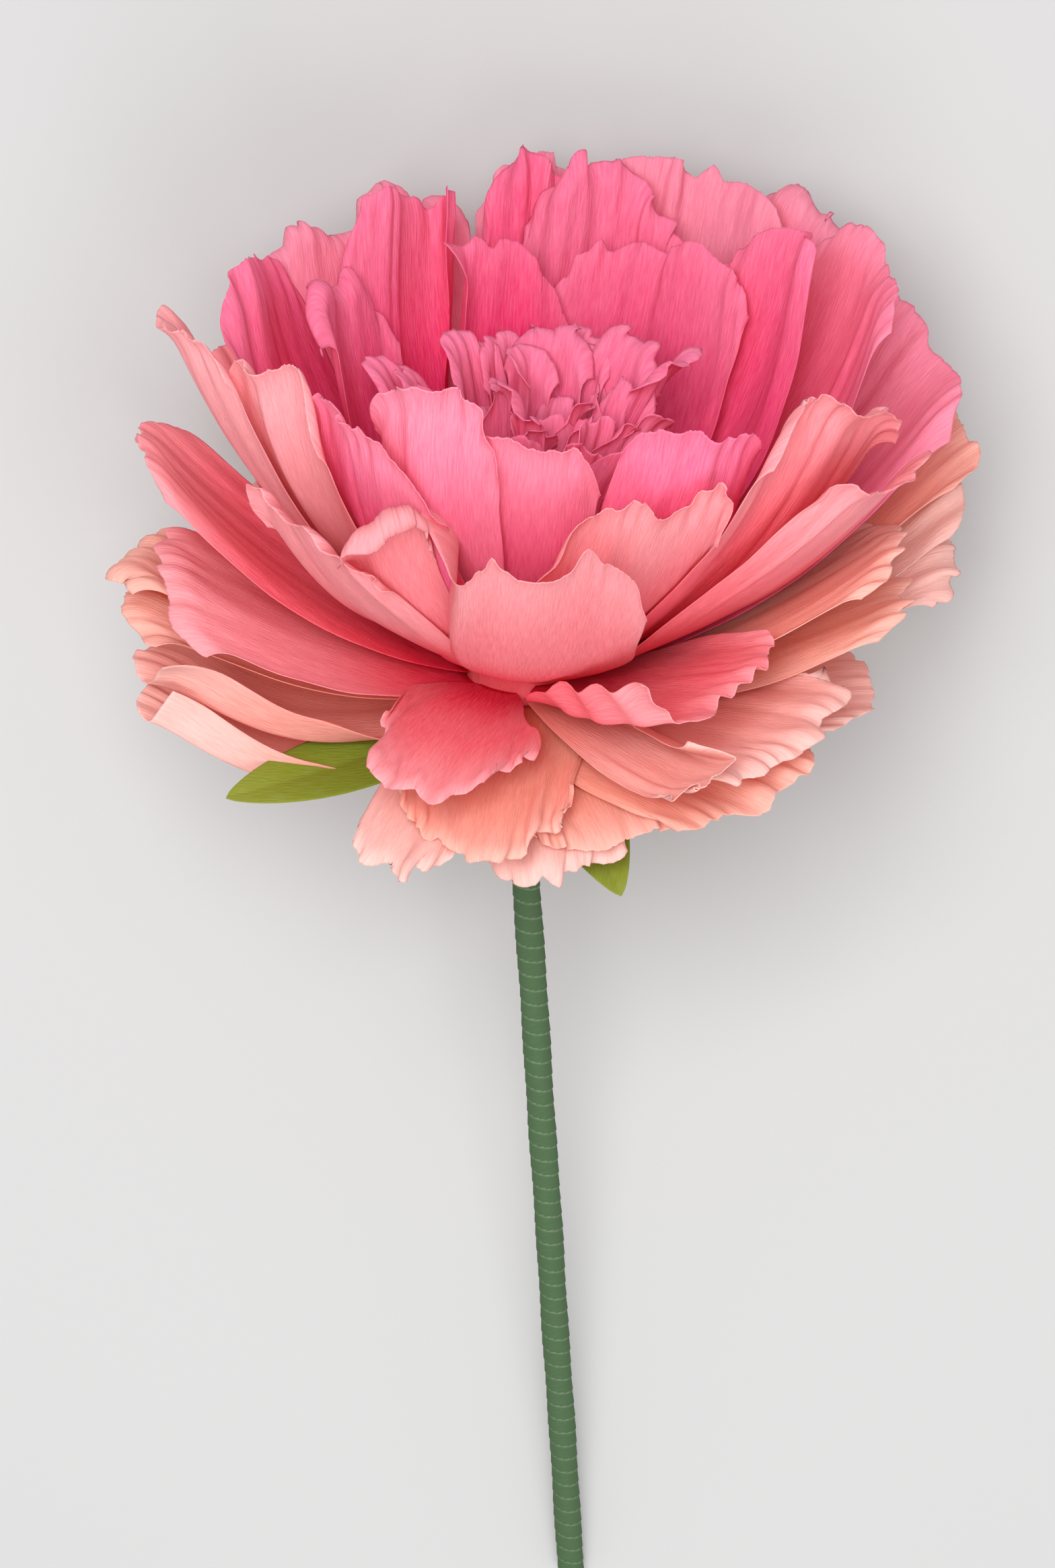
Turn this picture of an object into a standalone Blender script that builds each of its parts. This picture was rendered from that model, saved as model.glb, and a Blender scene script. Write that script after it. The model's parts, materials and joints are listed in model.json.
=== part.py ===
"""Crepe paper peony: a giant bloom of cut crepe petals on a foam core and a tape-wrapped rod stem.

Metres, +Z up. The flower lies at rest on two of its back petals and the end of its stem, with the open
face of the bloom turned up and its head pointing along +Y. The origin is the bottom centre of its box.

Every petal is a patch of one nested field. A point of the field has a ring number, an azimuth about the
bloom's axis and a distance along the petal. Rings run from the middle (0) to the outside (8) and the
calyx (9), and curves of different rings never meet, so petals with their own ring numbers never cross.
"""
import math

import bmesh
import bpy
import numpy as np
from mathutils import Matrix, Vector

# Paper and glue gaps
PETAL_PAPER = 0.0006
BASE_GAP = 0.0006

# Foam core, an egg on the bloom's axis
CORE_RADIUS = 0.032
CORE_HALF_HEIGHT = 0.034
CORE_MIDDLE = 0.030
CORE_SEGMENTS = 24
CORE_RINGS = 10

# Stem
ROD_RADIUS = 0.006
ROD_SINK = 0.040
WRAP_CLEARANCE = 0.0003
WRAP_THICKNESS = 0.0022
WRAP_TOP = 0.008
STEM_LENGTH = 0.620
STEM_SIDES = 24

# How the flower lies
BLOOM_RISE_DEG = 17.0
BLOOM_TURN_DEG = 6.0
STEM_TURN_DEG = -3.5
VIEW_FROM_AXIS_DEG = 65.0

# Where the rings start on the core, as angles from its top
FIRST_RING_DEG = 22.0
RING_STEP_DEG = 14.0

# How each ring opens: rise above the equator at the base and at the end of its turn, in degrees, at the
# front, the sides and the back of the bloom, then the length over which it turns.
OPENING = (
    (78, 86, 78, 86, 78, 86, 0.14),
    (64, 84, 64, 84, 66, 84, 0.14),
    (50, 84, 54, 84, 54, 82, 0.15),
    (34, 94, 42, 88, 42, 86, 0.22),
    (14, 94, 30, 82, 34, 80, 0.25),
    (5, 22, 19, 64, 28, 74, 0.27),
    (1, -18, 10, 45, 20, 62, 0.28),
    (-5, -32, 3, 27, 12, 44, 0.27),
    (-12, -47, -4, 12, 4, 24, 0.25),
    (-20, -56, -11, 2, -4, 12, 0.22),
)

# Folds that run through all rings, so that neighbouring petals nest: how many round the bloom, how deep
# in rings at the end of a ring's turn, and how far they drift from one ring to the next.
FOLD_COUNT = 9
FOLD_DEPTH = 0.12
FOLD_DRIFT = 1.5
FOLD_GROWTH = 1.6

# Papers: colour and roughness
PAPERS = {
    "hot_pink": (0.93, 0.13, 0.28, 0.85),
    "pink": (0.93, 0.25, 0.35, 0.85),
    "coral": (0.93, 0.29, 0.27, 0.85),
    "peach": (0.93, 0.45, 0.30, 0.85),
    "blush": (0.86, 0.52, 0.42, 0.85),
    "green": (0.27, 0.36, 0.04, 0.85),
    "tape": (0.06, 0.13, 0.06, 0.80),
    "papered_foam": (0.85, 0.12, 0.16, 0.85),
    "wood": (0.55, 0.38, 0.20, 0.70),
}

PETAL_ACROSS = 6
PETAL_ALONG = 5
PETAL_BASE_WIDTH = 0.030
WIDEST_AT = 0.65
TIP_NARROWING = 0.06
CORNER_POWER = 4.0
SPREAD_POWER = 0.9
CUP_BALANCE = 0.35
WAVE_GROWTH = 1.2
CURL_GROWTH = 4

# Petals: paper, ring, azimuth (0 front, 90 right, 180 back), length and width in mm, corner rounding,
# cup (edges towards the axis), folds across, fold depth, fold phase, outward curl of the rim, and
# the play in rings that its own waves may use.
PETALS = (
    ("pink", 2.95, -4, 202, 94, 0.08, 0.5, 1, 0.4, 0.5, 0.3, 0.14),
    ("pink", 3.27, -27, 240, 86, 0.10, 0.4, 1, 0.5, 2.0, 0.2, 0.12),
    ("pink", 3.60, -42, 222, 112, 0.10, 0.3, 1, 0.4, 1.0, 0.2, 0.13),
    ("coral", 3.58, 26, 196, 134, 0.10, 0.2, 2, 0.7, 0.4, 0.4, 0.13),
    ("coral", 4.20, -4, 232, 184, 0.20, 0.2, 1, 0.4, 3.1, 0.3, 0.12),
    ("coral", 3.86, -33, 198, 64, 0.10, 0.8, 1, 0.3, 1.5, 0.2, 0.10),
    ("coral", 4.06, -66, 243, 86, 0.12, 0.2, 2, 0.4, 0.2, 0.2, 0.12),
    ("coral", 4.32, -48, 206, 98, 0.12, 0.2, 1, 0.4, 2.6, 0.2, 0.12),
    ("blush", 4.52, -82, 283, 92, 0.12, 0.3, 1, 0.5, 0.6, 0.5, 0.07),
    ("coral", 5.36, -89, 240, 116, 0.10, 0.3, 1, 0.5, 2.2, 0.4, 0.14),
    ("pink", 5.92, -77, 200, 136, 0.10, 0.3, 2, 0.4, 1.2, 0.3, 0.14),
    ("peach", 6.60, -92, 228, 112, 0.10, 0.3, 1, 0.6, 0.1, 0.5, 0.14),
    ("peach", 7.10, -90, 212, 114, 0.10, 0.3, 2, 0.5, 1.9, 0.4, 0.13),
    ("blush", 7.50, -83, 201, 116, 0.10, 0.4, 2, 0.4, 0.7, 0.3, 0.13),
    ("blush", 7.95, -78, 203, 92, 0.10, 0.5, 1, 0.6, 2.8, 0.4, 0.14),
    ("coral", 5.02, 46, 150, 140, 0.10, 0.8, 2, 0.4, 1.4, 0.3, 0.12),
    ("blush", 6.34, 57, 178, 134, 0.10, 0.4, 2, 0.5, 0.3, 0.3, 0.10),
    ("blush", 6.68, 46, 144, 66, 0.10, 0.8, 1, 0.4, 2.1, 0.1, 0.10),
    ("peach", 7.04, 52, 158, 136, 0.10, 0.3, 2, 0.6, 1.1, 0.4, 0.11),
    ("peach", 7.44, 22, 138, 136, 0.10, 0.2, 2, 0.6, 0.9, 0.4, 0.13),
    ("coral", 5.70, -17, 137, 126, 0.08, 0.2, 2, 0.5, 0.2, 0.5, 0.13),
    ("peach", 6.90, 2, 140, 148, 0.08, 0.2, 2, 0.6, 1.8, 0.5, 0.10),
    ("blush", 7.20, -19, 167, 64, 0.10, 0.2, 2, 0.7, 0.5, 0.4, 0.11),
    ("blush", 7.80, 4, 142, 144, 0.10, 0.2, 2, 0.6, 2.4, 0.5, 0.13),
    ("hot_pink", 3.28, 40, 222, 94, 0.10, 0.5, 1, 0.6, 1.0, 0.2, 0.12),
    ("coral", 4.10, 70, 262, 116, 0.12, 0.2, 2, 0.4, 0.1, 0.3, 0.11),
    ("coral", 4.62, 76, 251, 120, 0.10, 0.3, 1, 0.5, 1.6, 0.3, 0.11),
    ("peach", 5.48, 94, 214, 134, 0.10, 0.3, 1, 0.4, 2.5, 0.3, 0.11),
    ("peach", 6.06, 97, 208, 138, 0.08, 0.2, 1, 0.3, 0.5, 0.4, 0.10),
    ("blush", 7.32, 93, 186, 130, 0.10, 0.2, 2, 0.5, 1.5, 0.4, 0.12),
    ("pink", 4.31, 114, 302, 138, 0.10, 0.4, 1, 0.5, 2.2, 0.4, 0.11),
    ("pink", 5.20, 118, 294, 140, 0.10, 0.3, 2, 0.5, 0.9, 0.4, 0.11),
    ("peach", 5.77, 116, 286, 118, 0.10, 0.3, 1, 0.5, 0.3, 0.3, 0.11),
    ("blush", 6.36, 119, 276, 116, 0.10, 0.2, 1, 0.6, 1.7, 0.4, 0.10),
    ("blush", 6.67, 111, 256, 78, 0.10, 0.4, 1, 0.4, 2.6, 0.5, 0.10),
    ("hot_pink", 2.95, -166, 229, 84, 0.08, 0.7, 1, 0.4, 0.4, 0.2, 0.14),
    ("hot_pink", 3.28, 156, 245, 144, 0.08, 0.6, 1, 0.3, 1.1, 0.3, 0.13),
    ("hot_pink", 3.32, -120, 237, 84, 0.08, 0.5, 1, 0.6, 2.0, 0.4, 0.13),
    ("hot_pink", 3.62, -142, 267, 118, 0.08, 0.3, 2, 0.6, 0.6, 0.5, 0.13),
    ("hot_pink", 4.22, -168, 300, 76, 0.10, 0.4, 2, 0.6, 1.9, 0.2, 0.12),
    ("hot_pink", 3.92, 170, 294, 116, 0.10, 0.3, 2, 0.7, 0.2, 0.3, 0.12),
    ("hot_pink", 3.64, 131, 286, 116, 0.10, 0.4, 2, 0.5, 1.3, 0.3, 0.13),
    ("hot_pink", 4.30, -108, 268, 116, 0.10, 0.3, 1, 0.6, 2.9, 0.3, 0.10),
    ("pink", 4.62, 159, 316, 160, 0.08, 0.2, 2, 0.6, 0.7, 0.3, 0.08),
    ("pink", 4.90, 141, 325, 140, 0.08, 0.2, 2, 0.6, 2.3, 0.4, 0.09),
    ("pink", 5.02, -172, 304, 118, 0.08, 0.3, 1, 0.6, 1.4, 0.3, 0.11),
    ("pink", 4.44, -139, 290, 156, 0.08, 0.2, 2, 0.6, 0.1, 0.3, 0.09),
    ("coral", 5.74, -134, 258, 150, 0.10, 0.3, 2, 0.5, 1.0, 0.3, 0.13),
    ("coral", 5.42, 174, 262, 150, 0.10, 0.3, 2, 0.5, 1.9, 0.3, 0.13),
    ("peach", 7.02, 138, 246, 130, 0.10, 0.3, 2, 0.5, 0.5, 0.3, 0.12),
    ("peach", 6.85, -152, 240, 140, 0.10, 0.3, 2, 0.5, 2.4, 0.3, 0.13),
    ("blush", 7.74, 146, 246, 130, 0.10, 0.2, 1, 0.4, 1.5, 0.2, 0.12),
    ("blush", 7.74, -144, 238, 130, 0.10, 0.2, 1, 0.4, 1.5, 0.2, 0.12),
)

# Centre strips, rolled round the core: ring at the start, length in mm, scallops, turns, where it starts.
STRIPS = (
    (0.10, 134, 8, 2.0, 20),
    (1.15, 158, 14, 2.0, 200),
)
STRIP_RINGS_PER_TURN = 0.48
STRIP_PLAY = 0.15
STRIP_NOTCH = 0.20
SCALLOP_POWER = 0.8
STRIP_STEPS_PER_SCALLOP = 6
STRIP_ALONG = 3

# Calyx: a green collar with leaves, on the core under the outermost petals.
CALYX_RING = 8.8
CALYX_COLLAR = 0.022
CALYX_LEAVES = ((-60, 0.172), (30, 0.140), (120, 0.170), (-150, 0.165))
CALYX_LEAF_HALF_DEG = 30.0
CALYX_LEAF_POWER = 1.3
CALYX_TURN_DEG = 370.0
CALYX_RING_GAIN = 0.20
CALYX_STEPS = 36
CALYX_ALONG = 3


def clear_scene():
    """Remove every object that the file starts with."""
    for thing in list(bpy.data.objects):
        bpy.data.objects.remove(thing, do_unlink=True)


def paper_material(name):
    """One Principled material with the paper's colour and roughness."""
    red, green, blue, rough = PAPERS[name]
    made = bpy.data.materials.new(name)
    made.use_nodes = True
    shader = made.node_tree.nodes["Principled BSDF"]
    shader.inputs["Base Color"].default_value = (red, green, blue, 1.0)
    shader.inputs["Roughness"].default_value = rough
    shader.inputs["Metallic"].default_value = 0.0
    made.diffuse_color = (red, green, blue, 1.0)
    return made


def field_angles(ring, azimuth):
    """Rise at the base, rise at the end of the turn and the length of the turn, for arrays."""
    table = np.array(OPENING)
    at = np.arange(len(table))
    columns = [np.interp(ring, at, table[:, i]) for i in range(table.shape[1])]
    front = np.maximum(np.cos(azimuth), 0) ** 2
    back = np.maximum(-np.cos(azimuth), 0) ** 2
    side = np.sin(azimuth) ** 2
    base = columns[0] * front + columns[2] * side + columns[4] * back
    tip = columns[1] * front + columns[3] * side + columns[5] * back
    return np.radians(base), np.radians(tip), columns[6]


def field_profile(ring, azimuth, distance):
    """Radius and height of a point of the field: each ring is an arc that starts on the core."""
    base, tip, turn = field_angles(ring, azimuth)
    bend = (tip - base) / turn
    from_top = np.radians(FIRST_RING_DEG + RING_STEP_DEG * ring)
    start_radius = (CORE_RADIUS + BASE_GAP) * np.sin(from_top)
    start_height = CORE_MIDDLE + (CORE_HALF_HEIGHT + BASE_GAP) * np.cos(from_top)
    chord = distance * np.sinc(bend * distance / (2 * math.pi))
    slope = base + bend * distance / 2
    return start_radius + chord * np.cos(slope), start_height + chord * np.sin(slope)


def field_point(ring, azimuth, distance):
    """The field's points about the bloom's own axis, with its folds, as an array of rows."""
    turn = field_angles(ring, azimuth)[2]
    depth = FOLD_DEPTH * np.clip(distance / turn, 0, 1) ** FOLD_GROWTH
    folded = ring + depth * np.cos(FOLD_COUNT * azimuth + FOLD_DRIFT * ring)
    radius, height = field_profile(folded, azimuth, distance)
    return np.stack([radius * np.sin(azimuth), -radius * np.cos(azimuth), height], -1)


def petal_points(petal, across, along):
    """Points of one petal, from its place across (-1 to 1) and along (0 to 1) the cut sheet."""
    _, ring, azimuth, length, width, corner, cup, folds, depth, phase, curl, play = petal
    length, width = length / 1000, width / 1000
    end = length * (1 - corner * np.abs(across) ** CORNER_POWER)
    distance = along * end
    spread = np.sin(np.minimum(along / WIDEST_AT, 1) * math.pi / 2) ** SPREAD_POWER
    narrowing = 1 - TIP_NARROWING * np.maximum(along - WIDEST_AT, 0) / (1 - WIDEST_AT)
    half = (PETAL_BASE_WIDTH + (width - PETAL_BASE_WIDTH) * spread) * narrowing / 2
    middle_radius, _ = field_profile(ring, math.radians(azimuth), along * length)
    angle = math.radians(azimuth) + across * half / middle_radius
    wave = cup * (CUP_BALANCE - across ** 2) * along
    wave = wave + depth * np.cos(math.pi * folds * across + phase) * along ** WAVE_GROWTH
    wave = wave + curl * along ** CURL_GROWTH
    return field_point(ring + play * np.tanh(wave), angle, distance)


def strip_points(strip, turn, along):
    """Points of a rolled centre strip, from its place round (0 to 1) and along (0 to 1)."""
    ring, length, scallops, turns, start = strip
    angle = math.radians(start) + turn * 2 * math.pi * turns
    beat = 2 * math.pi * scallops * turn
    end = length / 1000 * (1 - STRIP_NOTCH * (1 - np.abs(np.sin(beat / 2)) ** SCALLOP_POWER))
    wave = np.sin(beat) * along ** WAVE_GROWTH
    at_ring = ring + STRIP_RINGS_PER_TURN * turns * turn + STRIP_PLAY * np.tanh(wave)
    return field_point(at_ring, angle, along * end)


def calyx_points(turn, along):
    """Points of the calyx, a collar that runs out into leaves."""
    angle = turn * math.radians(CALYX_TURN_DEG)
    end = np.full_like(angle, CALYX_COLLAR)
    for leaf_azimuth, leaf_length in CALYX_LEAVES:
        off = np.degrees(np.angle(np.exp(1j * (angle - math.radians(leaf_azimuth)))))
        share = np.clip(np.abs(off) / CALYX_LEAF_HALF_DEG, 0, 1) ** CALYX_LEAF_POWER
        end = np.maximum(end, leaf_length + (CALYX_COLLAR - leaf_length) * share)
    return field_point(CALYX_RING + CALYX_RING_GAIN * turn, angle, along * end)


def lying_frame():
    """The bloom's axes and the stem's direction in the world, and the direction that faces up at the front."""
    rise, view, turn = map(math.radians, (BLOOM_RISE_DEG, VIEW_FROM_AXIS_DEG, BLOOM_TURN_DEG))
    reach = math.hypot(math.cos(view), math.sin(view) * math.cos(turn))
    tilt = math.acos(math.sin(rise) / reach) - math.atan2(math.sin(view) * math.cos(turn), math.cos(view))
    toward = Vector((0, math.sin(tilt), math.cos(tilt)))
    up = Vector((0, math.cos(tilt), -math.sin(tilt)))
    right = Vector((1, 0, 0))
    axis = math.cos(view) * toward + math.sin(view) * (math.cos(turn) * up + math.sin(turn) * right)
    front = (toward - toward.dot(axis) * axis).normalized()
    side = axis.cross(front)
    turned = Matrix((side, -front, axis)).transposed()
    return turned.to_4x4(), up, right


def stem_direction(height, up, right):
    """The unit vector from the bloom's base to the stem's end, which rests on the floor."""
    drop = (height - ROD_RADIUS - WRAP_CLEARANCE - WRAP_THICKNESS) / STEM_LENGTH
    turn = math.radians(STEM_TURN_DEG)
    flat = Vector((-math.sin(turn), -math.cos(turn), 0))
    return (flat * math.sqrt(1 - drop ** 2) + Vector((0, 0, -drop))).normalized()


def add_object(name, mesh, paper):
    """Put a mesh into the scene as one named piece with its own material."""
    piece = bpy.data.objects.new(name, mesh)
    bpy.context.collection.objects.link(piece)
    mesh.materials.append(paper_material(paper))
    return piece


def sheet_object(name, paper, across, along, shape, frame):
    """A sheet of paper: a grid laid out by the shape function and thickened about its middle."""
    sheet = bmesh.new()
    bmesh.ops.create_grid(sheet, x_segments=across, y_segments=along, size=1.0)
    flat = np.array([v.co for v in sheet.verts])
    placed = shape(flat[:, 0], (flat[:, 1] + 1) / 2)
    for vertex, point in zip(sheet.verts, placed):
        vertex.co = frame @ Vector(point)
    mesh = bpy.data.meshes.new(name)
    sheet.to_mesh(mesh)
    sheet.free()
    mesh.shade_smooth()
    piece = add_object(name, mesh, paper)
    thick = piece.modifiers.new("Paper", "SOLIDIFY")
    thick.thickness = PETAL_PAPER
    thick.offset = 0.0
    return piece


def make_petals(frame):
    """Every cut petal, named by its paper and numbered."""
    counts = {}
    for petal in PETALS:
        paper = petal[0]
        counts[paper] = counts.get(paper, 0) + 1
        name = f"{paper}_petal_{counts[paper]:02d}"
        sheet_object(name, paper, PETAL_ACROSS, PETAL_ALONG, lambda x, y: petal_points(petal, x, y), frame)


def make_strips(frame):
    """The ruffled strips at the middle of the bloom."""
    for number, strip in enumerate(STRIPS, 1):
        steps = STRIP_STEPS_PER_SCALLOP * strip[2]
        shape = lambda x, y: strip_points(strip, (x + 1) / 2, y)
        sheet_object(f"centre_strip_{number}", "hot_pink", steps, STRIP_ALONG, shape, frame)


def make_calyx(frame):
    """The green collar and leaves under the bloom."""
    shape = lambda x, y: calyx_points((x + 1) / 2, y)
    sheet_object("calyx", "green", CALYX_STEPS, CALYX_ALONG, shape, frame)


def along_stem(base, direction, start, end):
    """The matrix that lays a cylinder, built along Z about its middle, between two places on the stem."""
    middle = base + direction * (start + end) / 2
    return Matrix.Translation(middle) @ direction.to_track_quat("Z", "Y").to_matrix().to_4x4()


def cylinder_mesh(name, radius, length):
    """A closed cylinder about Z."""
    solid = bmesh.new()
    bmesh.ops.create_cone(solid, cap_ends=True, segments=STEM_SIDES, radius1=radius, radius2=radius, depth=length)
    mesh = bpy.data.meshes.new(name)
    solid.to_mesh(mesh)
    solid.free()
    return mesh


def bore(piece, name, radius, matrix, length):
    """Cut a round hole with a hidden cylinder."""
    cutter = bpy.data.objects.new(name, cylinder_mesh(name, radius, length))
    bpy.context.collection.objects.link(cutter)
    cutter.matrix_world = matrix
    cutter.hide_render = True
    cutter.display_type = "WIRE"
    cut = piece.modifiers.new("Bore", "BOOLEAN")
    cut.operation = "DIFFERENCE"
    cut.object = cutter


def make_core(frame, base, direction):
    """The foam egg, papered over, that the petals are glued to, with a blind hole for the rod."""
    egg = bmesh.new()
    bmesh.ops.create_uvsphere(egg, u_segments=CORE_SEGMENTS, v_segments=CORE_RINGS, radius=1.0)
    mesh = bpy.data.meshes.new("foam_core")
    egg.to_mesh(mesh)
    egg.free()
    shape = Matrix.Translation((0, 0, CORE_MIDDLE)) @ Matrix.Diagonal(
        (CORE_RADIUS, CORE_RADIUS, CORE_HALF_HEIGHT, 1)
    )
    mesh.transform(frame @ shape)
    mesh.shade_smooth()
    core = add_object("foam_core", mesh, "papered_foam")
    deep = ROD_SINK + WRAP_CLEARANCE
    place = along_stem(base, direction, -deep, CORE_HALF_HEIGHT)
    bore(core, "core_bore_cutter", ROD_RADIUS + WRAP_CLEARANCE, place, deep + CORE_HALF_HEIGHT)


def make_stem(base, direction):
    """The rod, which runs up into the core, and the crepe tape wound round it below the core."""
    rod = add_object("stem_rod", cylinder_mesh("stem_rod", ROD_RADIUS, ROD_SINK + STEM_LENGTH), "wood")
    rod.matrix_world = along_stem(base, direction, -ROD_SINK, STEM_LENGTH)
    outer = ROD_RADIUS + WRAP_CLEARANCE + WRAP_THICKNESS
    wrapped = STEM_LENGTH - WRAP_TOP
    wrap = add_object("stem_wrap", cylinder_mesh("stem_wrap", outer, wrapped), "tape")
    wrap.matrix_world = along_stem(base, direction, WRAP_TOP, STEM_LENGTH)
    through = along_stem(base, direction, 0, STEM_LENGTH + WRAP_TOP)
    bore(wrap, "wrap_bore_cutter", ROD_RADIUS + WRAP_CLEARANCE, through, STEM_LENGTH + WRAP_TOP)


def lowest_petal_point(turned):
    """How far the lowest petal reaches below the bloom's base, from the cut sheets' own grids."""
    across, along = np.meshgrid(np.linspace(-1, 1, PETAL_ACROSS + 1), np.linspace(0, 1, PETAL_ALONG + 1))
    down = np.array(turned.to_3x3())[2]
    return min(float((petal_points(petal, across, along) @ down).min()) for petal in PETALS)


def centre_on_floor():
    """Move every piece so that the box of the whole flower stands centred on the origin."""
    bpy.context.view_layer.update()
    graph = bpy.context.evaluated_depsgraph_get()
    points = []
    for piece in bpy.data.objects:
        if piece.hide_render:
            continue
        mesh = piece.evaluated_get(graph).to_mesh()
        points += [piece.matrix_world @ v.co for v in mesh.vertices]
    low = [min(p[i] for p in points) for i in range(3)]
    high = [max(p[i] for p in points) for i in range(3)]
    shift = Vector((-(low[0] + high[0]) / 2, -(low[1] + high[1]) / 2, -low[2]))
    for piece in bpy.data.objects:
        piece.matrix_world = Matrix.Translation(shift) @ piece.matrix_world


def main():
    clear_scene()
    turned, up, right = lying_frame()
    height = PETAL_PAPER / 2 - lowest_petal_point(turned)
    base = Vector((0, 0, height))
    frame = Matrix.Translation(base) @ turned
    direction = stem_direction(height, up, right)
    make_core(frame, base, direction)
    make_stem(base, direction)
    make_calyx(frame)
    make_strips(frame)
    make_petals(frame)
    centre_on_floor()


main()
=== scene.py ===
"""The looks of a giant crepe paper peony that lies on a pale floor.

Each petal is a grid laid out in the same nested field as the solid that it stands for, then pleated, fluted,
folded and curled. The heart is a bunch of small ruffled fans, the calyx is a collar with leaves, and the
stem is wound with tape.
"""

import json
import math

import bpy
import numpy as np
from mathutils import Matrix, Vector


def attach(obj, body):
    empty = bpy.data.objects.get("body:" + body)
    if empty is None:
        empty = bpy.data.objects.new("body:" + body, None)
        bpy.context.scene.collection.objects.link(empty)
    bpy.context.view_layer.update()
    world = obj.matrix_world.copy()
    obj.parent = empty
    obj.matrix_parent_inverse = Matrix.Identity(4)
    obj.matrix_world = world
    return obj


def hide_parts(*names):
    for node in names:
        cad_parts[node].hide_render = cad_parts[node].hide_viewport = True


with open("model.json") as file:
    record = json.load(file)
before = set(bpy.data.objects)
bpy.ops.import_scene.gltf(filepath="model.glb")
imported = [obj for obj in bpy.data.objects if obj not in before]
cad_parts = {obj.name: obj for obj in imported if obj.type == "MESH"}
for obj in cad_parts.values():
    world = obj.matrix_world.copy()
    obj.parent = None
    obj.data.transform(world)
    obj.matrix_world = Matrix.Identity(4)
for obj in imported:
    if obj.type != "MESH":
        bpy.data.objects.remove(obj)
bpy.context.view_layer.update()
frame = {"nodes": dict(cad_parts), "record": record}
bpy.ops.object.select_all(action="DESELECT")

# How the flower lies, and how the picture is taken
BLOOM_RISE_DEG = 17.0
BLOOM_TURN_DEG = 6.0
VIEW_FROM_AXIS_DEG = 65.0
STEM_LENGTH = 0.620
PICTURE_SIZE = (1568, 2330)
METRES_PER_PIXEL = 0.0004
BLOOM_BASE_PIXEL = (765, 1050)
CAMERA_DISTANCE = 3.0
SENSOR_MM = 36.0

# The field that the petals share with the solids
CORE_RADIUS = 0.032
CORE_HALF_HEIGHT = 0.034
CORE_MIDDLE = 0.030
BASE_GAP = 0.0006
FIRST_RING_DEG = 22.0
RING_STEP_DEG = 14.0
OPENING = (
    (78, 86, 78, 86, 78, 86, 0.14),
    (64, 84, 64, 84, 66, 84, 0.14),
    (50, 84, 54, 84, 54, 82, 0.15),
    (34, 94, 42, 88, 42, 86, 0.22),
    (14, 94, 30, 82, 34, 80, 0.25),
    (5, 22, 19, 64, 28, 74, 0.27),
    (1, -18, 10, 45, 20, 62, 0.28),
    (-5, -32, 3, 27, 12, 44, 0.27),
    (-12, -47, -4, 12, 4, 24, 0.25),
    (-20, -56, -11, 2, -4, 12, 0.22),
)
FOLD_COUNT = 9
FOLD_DEPTH = 0.12
FOLD_DRIFT = 1.5
FOLD_GROWTH = 1.6

# Petals
PAPER_THICKNESS = 0.0005
PETAL_ACROSS = 84
PETAL_ALONG = 36
RIM_DENSITY = 1.35
PETAL_BASE_WIDTH = 0.030
WIDEST_AT = 0.65
TIP_NARROWING = 0.06
CORNER_POWER = 4.0
SPREAD_POWER = 0.9
CUP_BALANCE = 0.35
WAVE_GROWTH = 1.2
CURL_GROWTH = 4

# Cut edges: the fringe and the bites of the scissors, in mm and metres
FRINGE_MM = 0.35
EDGE_BITE = 0.0012
EDGE_POWER = 8
SCALLOP_BESIDE_RIM = 0.45

# Pleats down a petal, flutes at its rim and their slow drift across, all as pitches in metres
LONG_PLEAT = 0.036
SHORT_PLEAT = 0.021
SHORT_PLEAT_SHARE = 0.6
PLEAT_DRIFT_PITCH = 0.11
PLEAT_DRIFT = 1.6
FLUTE_PITCH = 0.014
FLUTE_DRIFT_PITCH = 0.055
FLUTE_DRIFT = 1.8
FLUTE_SWELL_PITCH = 0.08
FLUTE_SWELL = 0.7
FLUTES_FROM = 0.80
RUFFLE_OUT_SHARE = 0.4

# Soft creases down a petal, by chance: their half widths and heights, and how far the side edges lift or sink
CREASE_WIDTHS = (0.0025, 0.0065)
CREASE_HEIGHTS = (-0.0035, 0.0035)
SIDE_LIFTS = (-0.005, 0.004)

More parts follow.
